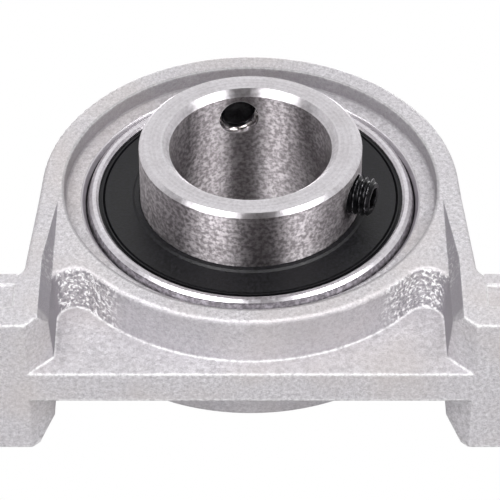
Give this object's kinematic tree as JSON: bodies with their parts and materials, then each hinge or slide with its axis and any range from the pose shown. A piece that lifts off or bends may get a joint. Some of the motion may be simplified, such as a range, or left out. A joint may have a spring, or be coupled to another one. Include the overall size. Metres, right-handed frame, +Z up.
{
  "type": "pillow block bearing",
  "caption": "Small die-cast pillow block with a self-aligning insert ball bearing, a wide inner ring held on its shaft by set screws, and two bolt-down feet.",
  "frame": {"origin": "on the mounting face under the feet, straight below the centre of the bearing", "axes": "+X along the feet, the shaft axis along Y with the set-screw collar towards -Y, +Z up from the mounting face"},
  "size_m": [0.1, 0.0245, 0.0545],
  "materials": {
    "zinc": "blasted casting",
    "bearing_steel": "ground",
    "collar_steel": "ground and polished",
    "seal_rubber": "satin",
    "sheet_steel": "pressed",
    "rivet_steel": "satin",
    "ball_steel": "polished",
    "black_steel": "black oxide"
  },
  "bodies": {
    "housing": {"housing": "zinc"},
    "outer_ring_and_seals": {"outer_ring": "bearing_steel", "seal_front_rubber": "seal_rubber", "seal_rear_rubber": "seal_rubber", "seal_front_insert": "sheet_steel", "seal_rear_insert": "sheet_steel"},
    "inner_ring": {"inner_ring": "collar_steel"},
    "cage": {"cage_front": "sheet_steel", "cage_rear": "sheet_steel", "cage_rivets": "rivet_steel"},
    "ball_1": {"ball_1": "ball_steel"},
    "ball_2": {"ball_2": "ball_steel"},
    "ball_3": {"ball_3": "ball_steel"},
    "ball_4": {"ball_4": "ball_steel"},
    "ball_5": {"ball_5": "ball_steel"},
    "ball_6": {"ball_6": "ball_steel"},
    "ball_7": {"ball_7": "ball_steel"},
    "ball_8": {"ball_8": "ball_steel"},
    "ball_9": {"ball_9": "ball_steel"},
    "set_screw_a": {"set_screw_a": "black_steel"},
    "set_screw_b": {"set_screw_b": "black_steel"}
  },
  "joints": [
    {"name": "align_tilt", "type": "hinge", "parent": "housing", "child": "outer_ring_and_seals", "pos_m": [0, 0, 0.028], "axis": [1, 0, 0], "range_deg": [-3, 3]},
    {"name": "shaft_spin", "type": "hinge", "parent": "outer_ring_and_seals", "child": "inner_ring", "pos_m": [0, 0, 0.028], "axis": [0, -1, 0], "continuous": true},
    {"name": "cage_spin", "type": "hinge", "parent": "outer_ring_and_seals", "child": "cage", "pos_m": [0, 0, 0.028], "axis": [0, -1, 0], "continuous": true},
    {"name": "ball_1_spin", "type": "hinge", "parent": "cage", "child": "ball_1", "pos_m": [0, 0, 0.0435], "axis": [0, -1, 0], "continuous": true},
    {"name": "ball_2_spin", "type": "hinge", "parent": "cage", "child": "ball_2", "pos_m": [-0.00996, 0, 0.03987], "axis": [0, -1, 0], "continuous": true},
    {"name": "ball_3_spin", "type": "hinge", "parent": "cage", "child": "ball_3", "pos_m": [-0.01526, 0, 0.03069], "axis": [0, -1, 0], "continuous": true},
    {"name": "ball_4_spin", "type": "hinge", "parent": "cage", "child": "ball_4", "pos_m": [-0.01342, 0, 0.02025], "axis": [0, -1, 0], "continuous": true},
    {"name": "ball_5_spin", "type": "hinge", "parent": "cage", "child": "ball_5", "pos_m": [-0.0053, 0, 0.01343], "axis": [0, -1, 0], "continuous": true},
    {"name": "ball_6_spin", "type": "hinge", "parent": "cage", "child": "ball_6", "pos_m": [0.0053, 0, 0.01343], "axis": [0, -1, 0], "continuous": true},
    {"name": "ball_7_spin", "type": "hinge", "parent": "cage", "child": "ball_7", "pos_m": [0.01342, 0, 0.02025], "axis": [0, -1, 0], "continuous": true},
    {"name": "ball_8_spin", "type": "hinge", "parent": "cage", "child": "ball_8", "pos_m": [0.01526, 0, 0.03069], "axis": [0, -1, 0], "continuous": true},
    {"name": "ball_9_spin", "type": "hinge", "parent": "cage", "child": "ball_9", "pos_m": [0.00996, 0, 0.03987], "axis": [0, -1, 0], "continuous": true},
    {"name": "set_screw_a_travel", "type": "slide", "parent": "inner_ring", "child": "set_screw_a", "axis": [0.9298, 0, -0.3681], "range_m": [-0.0011, 0.001]},
    {"name": "set_screw_b_travel", "type": "slide", "parent": "inner_ring", "child": "set_screw_b", "axis": [-0.1461, 0, 0.9893], "range_m": [-0.0011, 0.001]}
  ],
  "couplings": [
    {"joint": "cage_spin", "follows": "shaft_spin", "ratio": 0.3976},
    {"joint": "ball_1_spin", "follows": "shaft_spin", "ratio": -2.3385},
    {"joint": "ball_2_spin", "follows": "shaft_spin", "ratio": -2.3385},
    {"joint": "ball_3_spin", "follows": "shaft_spin", "ratio": -2.3385},
    {"joint": "ball_4_spin", "follows": "shaft_spin", "ratio": -2.3385},
    {"joint": "ball_5_spin", "follows": "shaft_spin", "ratio": -2.3385},
    {"joint": "ball_6_spin", "follows": "shaft_spin", "ratio": -2.3385},
    {"joint": "ball_7_spin", "follows": "shaft_spin", "ratio": -2.3385},
    {"joint": "ball_8_spin", "follows": "shaft_spin", "ratio": -2.3385},
    {"joint": "ball_9_spin", "follows": "shaft_spin", "ratio": -2.3385}
  ]
}
